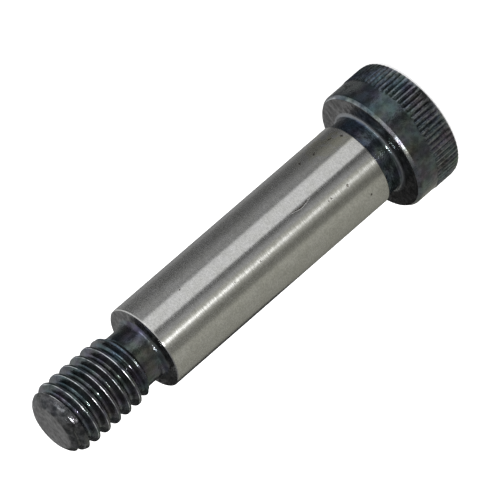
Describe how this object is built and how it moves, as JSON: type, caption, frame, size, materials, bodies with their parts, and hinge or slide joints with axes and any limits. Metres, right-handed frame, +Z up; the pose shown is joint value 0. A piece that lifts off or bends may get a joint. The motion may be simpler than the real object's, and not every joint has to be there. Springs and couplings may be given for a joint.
{
  "type": "shoulder bolt",
  "caption": "Socket head shoulder bolt with a knurled head, a ground shoulder between relieved necks and a coarse right-hand thread.",
  "frame": {"origin": "centre of the head's flat top, the surface that the bolt stands on", "axes": "+Z up the bolt's axis, from the head to the threaded tip"},
  "size_m": [0.014, 0.014, 0.0507],
  "materials": {
    "steel": "black oxide on the head, necks and thread, with a bright ground shoulder"
  },
  "bodies": {
    "root": {"shoulder_bolt": "steel"}
  },
  "joints": []
}
